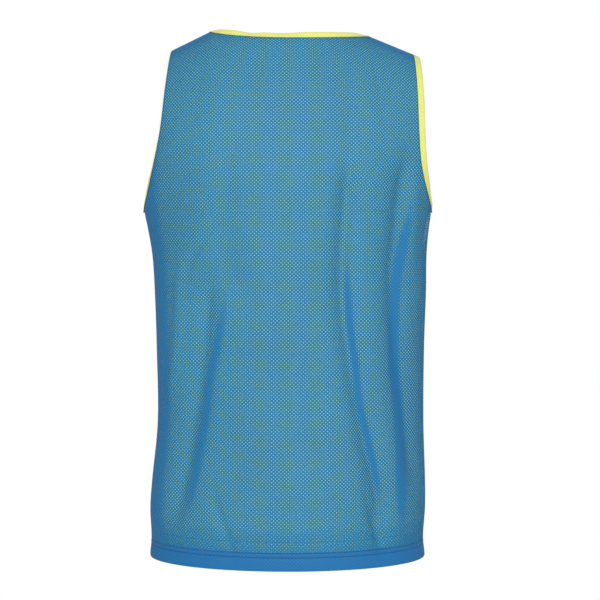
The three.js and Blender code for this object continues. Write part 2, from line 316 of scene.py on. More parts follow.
def panel_point(panel, across, level):
    """A point of a panel's face. Level goes from 0 at the hem to 1 at the underarm and 2 at the top."""
    across, level = np.broadcast_arrays(np.asarray(across, float), np.asarray(level, float))
    rise = (1 - np.cos(math.pi * np.clip(level - 1, 0, 1))) / 2
    ring, outward = ring_point(panel, across, HEM_Z + BODY * np.minimum(level, 1))
    point = np.where((level <= 1)[..., None], ring, yoke_point(panel, across, rise))
    fade = 1 - np.abs(across) ** FOLD_END_POWER
    push = fade * fold_depth(panel.folds, point[..., 0], point[..., 2])
    return point - outward * push[..., None]


def panel_normal(panel, across, level):
    """The outward direction of a panel's cloth."""
    right = panel_point(panel, np.minimum(across + STEP, 1), level)
    left = panel_point(panel, np.maximum(across - STEP, -1), level)
    upper = np.where(level > 1, np.minimum(level + STEP, 2), np.maximum(level, STEP))
    lower = np.where(level > 1, np.maximum(level - STEP, 1), np.maximum(level - STEP, 0))
    rising = panel_point(panel, across, upper) - panel_point(panel, across, lower)
    return unit(-panel.side * np.cross(right - left, rising))


def cloth_normal(panel, across, level):
    """The outward direction, which the two halves share where they are sewn together."""
    across, level = np.broadcast_arrays(np.asarray(across, float), np.asarray(level, float))
    own = panel_normal(panel, across, level)
    other = panel_normal(FRONT if panel is BACK else BACK, across, level)
    out = np.abs(across)
    sewn = ((level <= 1) & (out >= 1)) | ((level >= 2) & (out >= NECK_SHARE))
    return np.where(sewn[..., None], unit(own + other), own)


def cloth_point(panel, across, level, depth):
    point = panel_point(panel, across, level)
    return point - cloth_normal(panel, across, level) * np.asarray(depth)[..., None]


# Cloth coordinates: how far a place lies across and up the cloth, worked out on an even grid
TABLE_COLUMNS = 241
TABLE_ROWS = 321
FIND_COLUMNS = 361
FIND_ROWS = 421


def read(grid, row, column):
    """A grid's value between its rows and columns."""
    r = np.clip(row.astype(int), 0, grid.shape[0] - 2)
    c = np.clip(column.astype(int), 0, grid.shape[1] - 2)
    low = mix(grid[r, c], grid[r, c + 1], column - c)
    high = mix(grid[r + 1, c], grid[r + 1, c + 1], column - c)
    return mix(low, high, row - r)


class ClothTable:
    """A panel's cloth coordinates, u across from the middle and v up from the hem."""

    def __init__(self, panel):
        self.across = np.linspace(-1, 1, TABLE_COLUMNS)
        self.level = np.linspace(0, 2, TABLE_ROWS)
        points = panel_point(panel, self.across[None, :], self.level[:, None])
        steps = np.linalg.norm(np.diff(points, axis=1), axis=2)
        self.u = np.pad(np.cumsum(steps, axis=1), ((0, 0), (1, 0)))
        self.u -= self.u[:, [TABLE_COLUMNS // 2]]
        clamped = np.clip(self.across, -NECK_SHARE, NECK_SHARE)
        nearest = np.abs(self.across[None, :] - clamped[:, None]).argmin(1)
        up = np.diff(points, axis=0)
        lengths = np.hypot(up[..., 2], up[:, nearest, 1])
        self.v = np.pad(np.cumsum(lengths, axis=0), ((1, 0), (0, 0)))

        self.v_grid = np.linspace(0, self.v.max(), FIND_ROWS)
        self.u_grid = np.linspace(self.u.min(), self.u.max(), FIND_COLUMNS)
        rows = np.arange(TABLE_ROWS)
        columns = np.arange(TABLE_COLUMNS)
        self.row_of = np.stack([np.interp(self.v_grid, self.v[:, c], rows) for c in columns], 1)
        u_of = read(self.u, self.row_of, np.broadcast_to(columns, self.row_of.shape))
        self.column_of = np.stack([np.interp(self.u_grid, u, columns) for u in u_of])

    def find(self, u, v, lowest):
        """The across and level of cloth coordinates, clamped to the panel, and how far off that is."""
        v_place = np.interp(v, self.v_grid, np.arange(FIND_ROWS))
        u_place = np.interp(u, self.u_grid, np.arange(FIND_COLUMNS))
        column = read(self.column_of, v_place, u_place)
        row = read(self.row_of, v_place, column)
        bottom = np.interp(lowest, self.v[:, 0], np.arange(TABLE_ROWS))
        row = np.maximum(row, bottom)
        off_u = u - read(self.u, row, column)
        off_v = v - read(self.v, row, column)
        across = np.interp(column, np.arange(TABLE_COLUMNS), self.across)
        level = np.interp(row, np.arange(TABLE_ROWS), self.level)
        return across, level, off_u, off_v

    def at(self, across, level):
        """The cloth coordinates of a place."""
        row = np.interp(level, self.level, np.arange(TABLE_ROWS))
        column = np.interp(across, self.across, np.arange(TABLE_COLUMNS))
        return read(self.u, row, column), read(self.v, row, column)


TABLES = {panel.depth: ClothTable(panel) for panel in (BACK, FRONT)}


# Where the outer net stands off the lining it shows a plainer blue: along the folds, under the
# shoulder seams and towards the sides, more on the left
STREAK_FADE = 120
SHOULDER_STRENGTH = 0.9
SHOULDER_PLAIN = 0.3
SHOULDER_REACH_END = 16
SHOULDER_REACH_NECK = 5
SHOULDER_PAST_NECK = 4
SIDE_STRENGTH = {-1: 0.65, 1: 0.25}
SIDE_FROM = 0.8
SIDE_TO = 0.98
# Holes narrow where a net's share of plain blue goes from the first of these to the second
NARROW_FROM = 0.2
NARROW_TO = 0.75


def apart(panel, points):
    """How plainly blue the outer net looks at its points, from 0 to 1."""
    x, z = points[:, 0], points[:, 2]
    total = np.zeros(len(points))
    for streak in panel.streaks:
        low, high = streak.path[0].z, streak.path[-1].z
        inside = smoothstep(0, STREAK_FADE, np.minimum(z - low, high - z))
        off = (x - smooth(streak.path, "z", "x", z)) / streak.width
        total = np.maximum(total, np.minimum(streak.strength * inside * np.exp(-off * off), 1))
    for side, end in ((-1, LEFT_SHOULDER), (1, RIGHT_SHOULDER)):
        out = np.clip((side * x - end.neck_x) / (end.end_x - end.neck_x), 0, 1)
        below = mix(end.neck_z, end.end_z, out) - z
        reach = mix(SHOULDER_REACH_NECK, SHOULDER_REACH_END, out)
        on_shoulder = side * x > end.neck_x - SHOULDER_PAST_NECK
        plain = SHOULDER_STRENGTH * (1 - smoothstep(SHOULDER_PLAIN, 1, below / reach))
        total = np.maximum(total, np.where(on_shoulder, plain, 0))
        half = smooth(RINGS, "z", "left" if side < 0 else "right", np.clip(z, HEM_Z, UNDERARM_Z))
        at_side = smoothstep(SIDE_FROM, SIDE_TO, side * x / half)
        total = np.maximum(total, SIDE_STRENGTH[side] * at_side)
    return total


def face_areas(points, faces):
    a, b, c, d = (points[faces[:, k]] for k in range(4))
    return np.linalg.norm(np.cross(c - a, d - b), axis=1) / 2


def net(panel, lowest, depth_of, weave):
    """A panel of net from a height upwards: its points, its quads and the lattice coordinates."""
    table = TABLES[panel.depth]
    half_u = weave.across / 2
    half_v = weave.up / 2
    reach_u = int(table.u[:, -1].max() / half_u) + 3
    first_v = int(lowest / half_v) - 2
    last_v = int(table.v.max() / half_v) + 3
    i, j = np.meshgrid(
        np.arange(-reach_u, reach_u + 1), np.arange(first_v, last_v + 1), indexing="ij"
    )
    even = (i + j) % 2 == 0
    u = (i * half_u + weave.shift)[even]
    v = (j * half_v)[even]
    across, level, off_u, off_v = table.find(u, v, lowest)
    stands_off = apart(panel, panel_point(panel, across, level))
    open_share = 1 - smoothstep(NARROW_FROM, NARROW_TO, stands_off)
    kept = (np.abs(off_u) < weave.across) & (np.abs(off_v) < weave.up)
    number = np.full(i.shape, -1)
    number[tuple(index[even][kept] for index in np.indices(i.shape))] = np.arange(kept.sum())
    u = u[kept]
    v = v[kept]
    open_share = np.maximum(open_share[kept], CLOSED_SIZE)[:, None]

    corner_u = np.array([-weave.wide / 2, 0, weave.wide / 2, 0])
    corner_v = np.array([0, -weave.high / 2, 0, weave.high / 2])
    all_u = (u[:, None] + corner_u * open_share).ravel()
    all_v = (v[:, None] + corner_v * open_share).ravel()
    across, level, _, _ = table.find(all_u, all_v, lowest)
    height = np.minimum(level, 1) * BODY
    points = cloth_point(panel, across, level, depth_of(height))

    left, low, right, top = range(4)
    here = number[:-2, 1:-1]
    east = number[2:, 1:-1]
    north_east = number[1:-1, 2:]
    south_east = number[1:-1, :-2]
    quads = [
        ((here, right), (south_east, top), (east, left), (north_east, low)),
        ((here, right), (north_east, low), (north_east, left), (here, top)),
        ((here, low), (south_east, left), (south_east, top), (here, right)),
    ]
    faces = []
    for quad in quads:
        there = np.all([hole >= 0 for hole, _ in quad], axis=0)
        faces.append(np.stack([hole[there] * 4 + corner for hole, corner in quad], -1))
    _, centre_level, _, _ = table.find(u, v, lowest)
    row = np.interp(centre_level, table.level, np.arange(TABLE_ROWS)).astype(int)
    edge_u = np.where(u < 0, -table.u[row, 0], table.u[row, -1]) - np.abs(u)
    _, top_v = table.at(across.reshape(-1, 4)[:, 0], np.full(len(u), 2.0))
    near_side = edge_u < np.where(centre_level < 1, CLOSED_SIDE, CLOSED_EDGE)
    near_edge = near_side | (top_v - v < CLOSED_EDGE) | (v - lowest < CLOSED_LOW)
    closed = np.nonzero(near_edge | (open_share[:, 0] <= CLOSED_SIZE))[0]
    faces.append(closed[:, None] * 4 + np.arange(4))
    faces = np.concatenate(faces)
    faces = faces[face_areas(points, faces) > LEAST_FACE]
    return points, faces, np.stack([all_u - weave.shift, all_v], -1)


HEM_COLUMNS = 220


def hem_band(panel, section):
    """A turned-up hem: a section of heights and depths, swept along the panel."""
    table = TABLES[panel.depth]
    across = np.linspace(-1, 1, HEM_COLUMNS + 1)
    rows, uvs = [], []
    run = section[0].height
    before = section[0]
    for spot in section:
        level = np.full_like(across, spot.height / BODY)
        rows.append(cloth_point(panel, across, level, np.full_like(across, spot.depth)))
        run -= math.hypot(spot.height - before.height, spot.depth - before.depth)
        before = spot
        u, _ = table.at(across, level)
        uvs.append(np.stack([u, np.full_like(u, run)], -1))
    return grid_mesh(rows, uvs)


def grid_mesh(rows, uvs):
    """Quads between rows of points that run to the right and down as seen from outside the back."""
    columns = len(rows[0])
    r, c = np.meshgrid(np.arange(len(rows) - 1), np.arange(columns - 1), indexing="ij")
    start = (r * columns + c).ravel()
    faces = np.stack([start, start + columns, start + columns + 1, start + 1], -1)
    return np.concatenate(rows), faces, np.concatenate(uvs)


def joined(*parts):
    """Several (points, faces, uvs) as one, with a material number for each face."""
    points, faces, uvs, numbers = [], [], [], []
    count = 0
    for number, (p, f, uv) in parts:
        points.append(p)
        faces.append(f + count)
        uvs.append(uv)
        numbers.append(np.full(len(f), number))
        count += len(p)
    return tuple(np.concatenate(x) for x in (points, faces, uvs, numbers))


def make_piece(name, points, faces, uvs, materials, numbers=None, flip=False, shade=None):
    """A mesh object in metres from points in millimetres, with its cloth coordinates in metres."""
    mesh = bpy.data.meshes.new(name)
    if flip:
        faces = faces[:, ::-1]
    mesh.from_pydata((points * MM).tolist(), [], faces.tolist())
    if uvs is not None:
        layer = mesh.uv_layers.new(name="cloth")
        layer.data.foreach_set("uv", (uvs[faces.ravel()] * MM).astype(np.float32).ravel())
    if shade is not None:
        mesh.attributes.new("apart", "FLOAT", "POINT").data.foreach_set("value", shade)
    for material in materials:
        mesh.materials.append(material)
    if numbers is not None:
        mesh.polygons.foreach_set("material_index", numbers.astype(np.int32))
    mesh.polygons.foreach_set("use_smooth", np.ones(len(faces), bool))
    mesh.update()
    piece = bpy.data.objects.new(name, mesh)
    bpy.context.scene.collection.objects.link(piece)
    return piece


# The tape: stations along an edge, and a section folded over both cloths
TAPE_WALL = 0.55
Corner = namedtuple("Corner", "off out")
TAPE_OUTSIDE = [
    Corner(-1.8, 0.6), Corner(-0.6, 0.85), Corner(0.6, 0.7), Corner(1.2, 0.4), Corner(1.9, 0.7),
    Corner(3.2, 0.95), Corner(5.2, 1.0), Corner(7.2, 0.8), Corner(8.5, 0.4), Corner(9.1, -0.2),
    Corner(9.3, -0.85), Corner(9.1, -1.5), Corner(8.5, -2.1), Corner(7.2, -2.5),
    Corner(5.2, -2.6), Corner(3.2, -2.5), Corner(1.9, -2.3), Corner(1.2, -2.05), Corner(0.6, -2.3),
    Corner(-0.6, -2.5), Corner(-1.8, -2.3),
]
TAPE_MIDDLE_OUT = -0.8
TAPE_THINS = 0.6
LEAST_LAP = 0.06
STATION_STEP = 1.6
NORMAL_BLUR = 9
ALONG_BLUR = 2
STAND_BLUR = 4

# How the tape stands along an edge of the back, by x at the neck and by z at an armhole: the lift,
# in degrees, turns its outer edge out and the width scales it
Stand = namedtuple("Stand", "place lift width")
NECK_STANDS = [
    Stand(-106, -5, 0.9),
    Stand(-98, 12, 0.9),
    Stand(-82, 18, 0.9),
    Stand(-68, 10, 0.9),
    Stand(-56, -8, 0.85),
    Stand(-44, -8, 0.85),
    Stand(-32, 0, 0.9),
    Stand(-20, -7, 0.9),
    Stand(0, -7, 0.9),
    Stand(12, 3, 0.9),
    Stand(22, 9, 0.9),
    Stand(45, 13, 0.9),
    Stand(75, 13, 0.9),
    Stand(92, 10, 0.9),
    Stand(106, -12, 0.9),
]
LEFT_STANDS = [
    Stand(-232, 12, 0.95),
    Stand(-205, 8, 0.95),
    Stand(-185, -10, 0.9),
    Stand(-165, -38, 0.9),
    Stand(-110, -75, 0.9),
    Stand(-60, -98, 0.9),
    Stand(-17, -98, 0.9),
]
RIGHT_STANDS = [
    Stand(-232, 25, 0.95),
    Stand(-205, 18, 0.95),
    Stand(-185, 4, 0.9),
    Stand(-150, -6, 0.9),
    Stand(-22, -6, 0.9),
]
# An edge's stands are placed by x or by z, and hold where y is less than back_y
Edging = namedtuple("Edging", "places axis back_y stands")
BY_X = 0
BY_Z = 2
ALL_ROUND = 1000


def blurred(values, reach):
    """A closed line of values, each the mean of its neighbours within reach."""
    total = sum(np.roll(values, k, axis=0) for k in range(-reach, reach + 1))
    return total / (2 * reach + 1)


def edge_stations(places):
    """Evenly spaced stations of a closed edge: points, normals and the directions off the cloth."""
    points = np.concatenate([panel_point(*place) for place in places])
    normals = np.concatenate([cloth_normal(*place) for place in places])
    steps = np.linalg.norm(np.roll(points, -1, axis=0) - points, axis=1)
    run = np.concatenate([[0], np.cumsum(steps)])
    count = int(run[-1] / STATION_STEP)
    even = np.linspace(0, run[-1], count, endpoint=False)

    def resampled(values):
        closed = np.concatenate([values, values[:1]])
        return np.stack([np.interp(even, run, closed[:, k]) for k in range(closed.shape[1])], -1)

    points = resampled(points)
    normals = unit(blurred(resampled(normals), NORMAL_BLUR))
    along = unit(blurred(np.roll(points, -1, axis=0) - np.roll(points, 1, axis=0), ALONG_BLUR))
    normals = unit(normals - along * np.sum(normals * along, -1, keepdims=True))
    off = unit(np.cross(normals, along))
    return points, normals, off, even


def tape(edging):
    """A folded tape round a closed edge, as a thin wall: points, quads and coordinates."""
    points, normals, off, run = edge_stations(edging.places)
    stands = edging.stands
    on_back = points[:, 1] < edging.back_y
    place = np.clip(points[:, edging.axis], stands[0].place, stands[-1].place)
    lift = np.where(on_back, np.radians(smooth(stands, "place", "lift", place)), 0)
    width = np.where(on_back, smooth(stands, "place", "width", place), stands[-1].width)
    lift = blurred(lift, STAND_BLUR)
    width = blurred(width, STAND_BLUR)
    lap = np.maximum(np.cos(lift), LEAST_LAP)
    thin = 1 - TAPE_THINS * np.abs(np.sin(lift))
    out_way = np.cos(lift)[:, None] * off + np.sin(lift)[:, None] * normals
    up_way = np.cos(lift)[:, None] * normals - np.sin(lift)[:, None] * off
    outside = np.array(TAPE_OUTSIDE)
    tangents = np.gradient(outside, axis=0)
    inward = unit(np.stack([tangents[:, 1], -tangents[:, 0]], -1))
    inside = outside + inward * TAPE_WALL
    section = np.concatenate([outside, inside[::-1]])
    lengths = np.linalg.norm(np.diff(outside, axis=0), axis=1)
    spread = np.concatenate([[0], np.cumsum(lengths)])
    spread = np.concatenate([spread, spread[::-1]])
    rows, uvs = [], []
    for (o, n), s in zip(section, spread):
        turned = max(o, 0)
        rows.append(
            points
            + off * (min(o, 0) * lap)[:, None]
            + out_way * (turned * width)[:, None]
            + up_way * ((n - TAPE_MIDDLE_OUT) * thin)[:, None]
            + normals * TAPE_MIDDLE_OUT
        )
        uvs.append(np.stack([run, np.full_like(run, s)], -1))
    return ring_mesh(rows, uvs)


def ring_mesh(rows, uvs):
    """Quads between closed rows of points, the last of which joins the first."""
    columns = len(rows[0])
    total = len(rows)
    r, c = np.meshgrid(np.arange(total), np.arange(columns), indexing="ij")
    here = r * columns + c
    ahead = r * columns + (c + 1) % columns
    over = (r + 1) % total * columns + c
    across = (r + 1) % total * columns + (c + 1) % columns
    faces = np.stack([here, ahead, across, over], -1).reshape(-1, 4)
    return np.concatenate(rows), faces, np.concatenate(uvs)


EDGE_SAMPLES = 400


def neck_places():
    across = np.linspace(-NECK_SHARE, NECK_SHARE, EDGE_SAMPLES)
    top = np.full(EDGE_SAMPLES - 1, 2.0)
    return [(BACK, across[:-1], top), (FRONT, across[:0:-1], top)]


def armhole_places(side, up, down):
    level = np.linspace(1, 2, EDGE_SAMPLES)
    across = np.full(EDGE_SAMPLES - 1, float(side))
    return [(up, across, level[:-1]), (down, across, level[:0:-1])]


# Stitches: short threads along a line of points
THREAD_SIDES = 5
ThreadRing = namedtuple("ThreadRing", "along thick rise")
STITCH_RINGS = [
    ThreadRing(-0.5, 0.35, -0.5),
    ThreadRing(-0.3, 1, 0.35),
    ThreadRing(0.3, 1, 0.35),
    ThreadRing(0.5, 0.35, -0.5),
]
# How far each way a thread looks along its line for its direction
AIM_REACH = 0.2

Sewing = namedtuple("Sewing", "pitch length radius")
TAPE_SEWING = Sewing(2.8, 2.3, 0.28)
HEM_SEWING = Sewing(3.0, 2.6, 0.42)


def stitches(line, normals, sewing):
    """Short threads that lie along a closed line, each dipping into the cloth at its ends."""
    line = np.concatenate([line, line[:1]])
    normals = np.concatenate([normals, normals[:1]])
    steps = np.linalg.norm(np.diff(line, axis=0), axis=1)
    run = np.concatenate([[0], np.cumsum(steps)])
    count = int(run[-1] / sewing.pitch)
    middle = (np.arange(count) + 0.5) * run[-1] / count

    def between(values, at):
        return np.stack([np.interp(at, run, values[:, k]) for k in range(3)], -1)

    points = []
    for ring in STITCH_RINGS:
        at = middle + ring.along * sewing.length
        centre = between(line, at)
        along = unit(between(line, at + AIM_REACH) - between(line, at - AIM_REACH))
        up = unit(between(normals, at))
        aside = np.cross(along, up)
        centre = centre + up * ring.rise * sewing.radius
        for k in range(THREAD_SIDES):
            turn = 2 * math.pi * k / THREAD_SIDES
            spoke = up * math.sin(turn) + aside * math.cos(turn)
            points.append(centre + spoke * sewing.radius * ring.thick)
    points = np.stack(points, 1)
    faces = []
    for r in range(len(STITCH_RINGS) - 1):
        for k in range(THREAD_SIDES):
            n = (k + 1) % THREAD_SIDES
            a, b = r * THREAD_SIDES, (r + 1) * THREAD_SIDES
            faces.append([a + k, a + n, b + n, b + k])
    per = len(STITCH_RINGS) * THREAD_SIDES
    faces = (np.arange(count)[:, None, None] * per + np.array(faces)).reshape(-1, 4)
    return points.reshape(-1, 3), faces


def hem_line(height, depth, lift):
    """A line round the whole body at a height over the hem, with its normals."""
    across = np.linspace(-1, 1, HEM_COLUMNS + 1)
    level = np.full_like(across, height / BODY)
    line, normals = [], []
    for panel, way in ((BACK, 1), (FRONT, -1)):
        a = across[::way][:-1]
        line.append(cloth_point(panel, a, level[:-1], np.full_like(a, depth - lift)))
        normals.append(cloth_normal(panel, a, level[:-1]))
    return np.concatenate(line), np.concatenate(normals)


# Seams: a cord of turned-in cloth where the back and front are sewn together
CORD_SIDES = 8
CORD_RADIUS = 0.75
CORD_TAPER = 4
SEAM_STEPS = 160
SEAM_LOW = 0.01


def cord(line, normals):
    """A cord along an open line, thin at its ends."""
    along = unit(np.gradient(line, axis=0))
    aside = unit(np.cross(along, normals))
    up = np.cross(aside, along)
    place = np.arange(len(line))
    radius = CORD_RADIUS * smoothstep(-1, CORD_TAPER, np.minimum(place, place[::-1]))
    turns = 2 * math.pi * np.arange(CORD_SIDES) / CORD_SIDES
    rings = [
        line + (up * math.sin(turn) + aside * math.cos(turn)) * radius[:, None] for turn in turns
    ]
    r, k = np.meshgrid(np.arange(len(line) - 1), np.arange(CORD_SIDES), indexing="ij")
    here = r * CORD_SIDES + k
    beside = r * CORD_SIDES + (k + 1) % CORD_SIDES
    faces = np.stack([here, here + CORD_SIDES, beside + CORD_SIDES, beside], -1).reshape(-1, 4)
    return np.stack(rings, 1).reshape(-1, 3), faces


def side_seam(side):
    level = np.linspace(SEAM_LOW, 1, SEAM_STEPS)
    return np.full(SEAM_STEPS, float(side)), level


def shoulder_seam(side):
    across = side * np.linspace(NECK_SHARE, 1, SEAM_STEPS // 2)
    return across, np.full(SEAM_STEPS // 2, 2.0)


# Materials, with the depths of their bumps in metres
CLOTH_ROUGHNESS = 0.7
CLOTH_SPECULAR = 0.3
YELLOW_SHEEN = 0.05
NET_CLOUDS = 9.0
NET_FIBRES = 1400.0
FIBRE_DEPTH = 0.00012
YARN_DEPTH = 0.0002
HEM_YARN_DEPTH = 0.00008
# A net's painted sheen highlight, lighter yarn round each hole, reaches up to the first of these
# distances from a hole's middle, in half holes, and the net is dark from the second on
SHEEN_TO = 1.35
DARK_FROM = 2.25
# What a net's shade is made of: the ring of painted sheen highlight, a least share and uneven clouds
SHEEN_RIM_SHARE = 0.55
LEAST_SHARE = 0.16
CLOUDY_SHARE = 0.25
TAPE_SHEEN = 0.1
TAPE_RIB = 0.0005
TAPE_RIB_DEPTH = 0.00008
TAPE_CLOUDS = 60.0
TAPE_FIBRES = 2200.0
THREAD_ROUGHNESS = 0.55
THREAD_SHEEN = 0.15
THREAD_TWIST = 1800.0
THREAD_TWIST_DEPTH = 0.0001
THREAD_LIGHTER = 1.35


class Nodes:
    """A material with one Principled shader, and short ways to add nodes that feed it."""

    def __init__(self, name, roughness, sheen=0.0):
        self.material = bpy.data.materials.new(name)
        self.material.use_nodes = True
        self.tree = self.material.node_tree
        self.shader = self.tree.nodes["Principled BSDF"]
        self.shader.inputs["Roughness"].default_value = roughness
        self.shader.inputs["Sheen Weight"].default_value = sheen
        self.shader.inputs["Specular IOR Level"].default_value = CLOTH_SPECULAR

    def new(self, kind, settings=(), **inputs):
        node = self.tree.nodes.new(kind)
        for key, value in dict(settings).items():
            setattr(node, key, value)
        for key, value in inputs.items():
            self.feed(node.inputs[key.replace("_", " ")], value)
        return node

    def feed(self, socket, value):
        if isinstance(value, bpy.types.NodeSocket):
            self.tree.links.new(value, socket)
        else:
            socket.default_value = value

    def math(self, operation, *values):
        node = self.tree.nodes.new("ShaderNodeMath")
        node.operation = operation
        for socket, value in zip(node.inputs, values):
            self.feed(socket, value)
        return node.outputs[0]

    def blend(self, factor, a, b):
        node = self.new("ShaderNodeMix", {"data_type": "RGBA"})
        self.feed(node.inputs[0], factor)
        self.feed(node.inputs[6], (*a, 1) if isinstance(a, tuple) else a)
        self.feed(node.inputs[7], (*b, 1) if isinstance(b, tuple) else b)
        return node.outputs[2]

    def noise(self, scale, detail=2.0, stretch=(1, 1, 1)):
        place = self.new("ShaderNodeTexCoord").outputs["Object"]
        mapped = self.new("ShaderNodeMapping", Vector=place, Scale=stretch).outputs[0]
        return self.new("ShaderNodeTexNoise", Vector=mapped, Scale=scale, Detail=detail).outputs[0]

    def bump(self, height, distance, strength=1.0, under=None):
        node = self.new("ShaderNodeBump", Height=height, Distance=distance, Strength=strength)
        if under is not None:
            self.feed(node.inputs["Normal"], under)
        return node.outputs[0]


def cloth_coordinates(nodes):
    uv = nodes.new("ShaderNodeUVMap", {"uv_map": "cloth"}).outputs[0]
    split = nodes.new("ShaderNodeSeparateXYZ", Vector=uv)
    return split.outputs[0], split.outputs[1]


def hole_distance(nodes, weave):
    """How far a place of the net is from the nearest hole: 1 at the hole's edge."""
    u, v = cloth_coordinates(nodes)
    near_u = nodes.math("PINGPONG", u, weave.across / 2 * MM)
    near_v = nodes.math("PINGPONG", v, weave.up / 2 * MM)
    half_wide = weave.wide / 2 * MM
    half_high = weave.high / 2 * MM
    far_u = nodes.math("SUBTRACT", weave.across / 2 * MM, near_u)
    far_v = nodes.math("SUBTRACT", weave.up / 2 * MM, near_v)
    even, odd = (
        nodes.math("ADD", nodes.math("DIVIDE", u_off, half_wide), nodes.math("DIVIDE", v_off, half_high))
        for u_off, v_off in ((near_u, near_v), (far_u, far_v))
    )
    return nodes.math("MINIMUM", even, odd)


def net_material(name, light, dark, weave, rim_depth, sheen=0.0, plain=None):
    """Knitted net: a painted sheen highlight round each hole, darker yarns between, an uneven tone."""
    nodes = Nodes(name, CLOTH_ROUGHNESS, sheen)
    distance = hole_distance(nodes, weave)
    # The ring of painted sheen highlight round each hole, which also raises the yarn's bump
    sheen_ring = nodes.new(
        "ShaderNodeMapRange",
        {"interpolation_type": "SMOOTHSTEP"},
        Value=distance, From_Min=DARK_FROM, From_Max=SHEEN_TO,
    ).outputs[0]
    cloudy = nodes.noise(NET_CLOUDS, 3.0)
    ringed = nodes.math("MULTIPLY_ADD", sheen_ring, SHEEN_RIM_SHARE, LEAST_SHARE)
    shade = nodes.math("MULTIPLY_ADD", cloudy, CLOUDY_SHARE, ringed)
    colour = nodes.blend(shade, dark, light)
    if plain:
        stands_off = nodes.new("ShaderNodeAttribute", {"attribute_name": "apart"}).outputs["Fac"]
        colour = nodes.blend(stands_off, colour, plain)
    nodes.feed(nodes.shader.inputs["Base Color"], colour)
    yarn = nodes.bump(sheen_ring, rim_depth)
    fibres = nodes.bump(nodes.noise(NET_FIBRES, 1.0, (1, 1, 0.6)), FIBRE_DEPTH, 0.5, under=yarn)
    nodes.feed(nodes.shader.inputs["Normal"], fibres)
    return nodes.material


def tape_material(name, light, dark):
    """Woven tape: fine ribs across it."""
    nodes = Nodes(name, CLOTH_ROUGHNESS, TAPE_SHEEN)
    u, _ = cloth_coordinates(nodes)
    ribs = nodes.math("PINGPONG", u, TAPE_RIB)
    ribs = nodes.math("DIVIDE", ribs, TAPE_RIB)
    cloudy = nodes.noise(TAPE_CLOUDS, 2.0)
    shade = nodes.math("MULTIPLY_ADD", ribs, 0.25, nodes.math("MULTIPLY", cloudy, 0.6))
    nodes.feed(nodes.shader.inputs["Base Color"], nodes.blend(shade, dark, light))
    ribbed = nodes.bump(ribs, TAPE_RIB_DEPTH, 0.6)
    fibres = nodes.bump(nodes.noise(TAPE_FIBRES, 1.0), TAPE_RIB_DEPTH, 0.5, under=ribbed)
    nodes.feed(nodes.shader.inputs["Normal"], fibres)
    return nodes.material


def thread_material(name, colour):
    nodes = Nodes(name, THREAD_ROUGHNESS, THREAD_SHEEN)
    twist = nodes.noise(THREAD_TWIST, 1.0)
    lighter = tuple(min(1.0, c * THREAD_LIGHTER + 0.01) for c in colour)
    nodes.feed(nodes.shader.inputs["Base Color"], nodes.blend(twist, colour, lighter))
    nodes.feed(nodes.shader.inputs["Normal"], nodes.bump(twist, THREAD_TWIST_DEPTH, 0.6))
    return nodes.material


# The lighter colour of each net is its painted sheen highlight round the holes
BLUE_SHEEN_LIT = (0.012, 0.25, 0.485)
BLUE_DARK = (0.003, 0.08, 0.215)
BLUE_PLAIN = (0.012, 0.14, 0.34)
HEM_SHEEN_LIT = (0.010, 0.155, 0.38)
HEM_DARK = (0.004, 0.105, 0.28)
# The lining's yellows are greener and darker than the tape's yellow: painted shade, as from the blue net
# in front of it
SHADED_YELLOW_SHEEN_LIT = (0.54, 0.76, 0.19)
SHADED_YELLOW_DARK = (0.36, 0.56, 0.09)
TAPE_LIGHT = (0.73, 0.74, 0.22)
TAPE_DARK = (0.62, 0.64, 0.16)
# The hem thread is darker than the cloth's blue: painted shade of the stitched grooves it lies in
THREAD_BLUE_GROOVE_SHADE = (0.003, 0.045, 0.15)
# Dark green stitches on the net beside each tape: stitches, dark as a painted shadow line of the tape's
# edge
THREAD_SHADOW_GREEN = (0.02, 0.13, 0.09)
THREAD_YELLOW = (0.66, 0.68, 0.12)

blue_net = net_material("blue_net", BLUE_SHEEN_LIT, BLUE_DARK, OUTER, YARN_DEPTH, plain=BLUE_PLAIN)
blue_hem = net_material("blue_hem", HEM_SHEEN_LIT, HEM_DARK, OUTER, HEM_YARN_DEPTH)
shaded_yellow_net = net_material("shaded_yellow_net", SHADED_YELLOW_SHEEN_LIT, SHADED_YELLOW_DARK, INNER, YARN_DEPTH, YELLOW_SHEEN)
shaded_yellow_hem = net_material("shaded_yellow_hem", SHADED_YELLOW_SHEEN_LIT, SHADED_YELLOW_DARK, INNER, HEM_YARN_DEPTH, YELLOW_SHEEN)
yellow_tape = tape_material("yellow_tape", TAPE_LIGHT, TAPE_DARK)
groove_shaded_blue_thread = thread_material("groove_shaded_blue_thread", THREAD_BLUE_GROOVE_SHADE)
shadow_green_thread = thread_material("shadow_green_thread", THREAD_SHADOW_GREEN)
blue_seam = thread_material("blue_seam", HEM_SHEEN_LIT)
yellow_thread = thread_material("yellow_thread", THREAD_YELLOW)


def fit(piece, slot, *nodes):
    """A piece rides on the body and stands for CAD nodes, which are hidden. The slot is not used."""
    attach(piece, BODY_NAME)
    if nodes:
        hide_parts(*nodes)
    return piece


def net_depth(height):
    return np.full_like(height, NET_DEPTH)


def lining_depth(height):
    risen = smoothstep(LINING_HEM_TOP, LINING_HEM_TOP + LINING_RISE, height)
    return mix(LINING_LOW_DEPTH, LINING_DEPTH, risen)


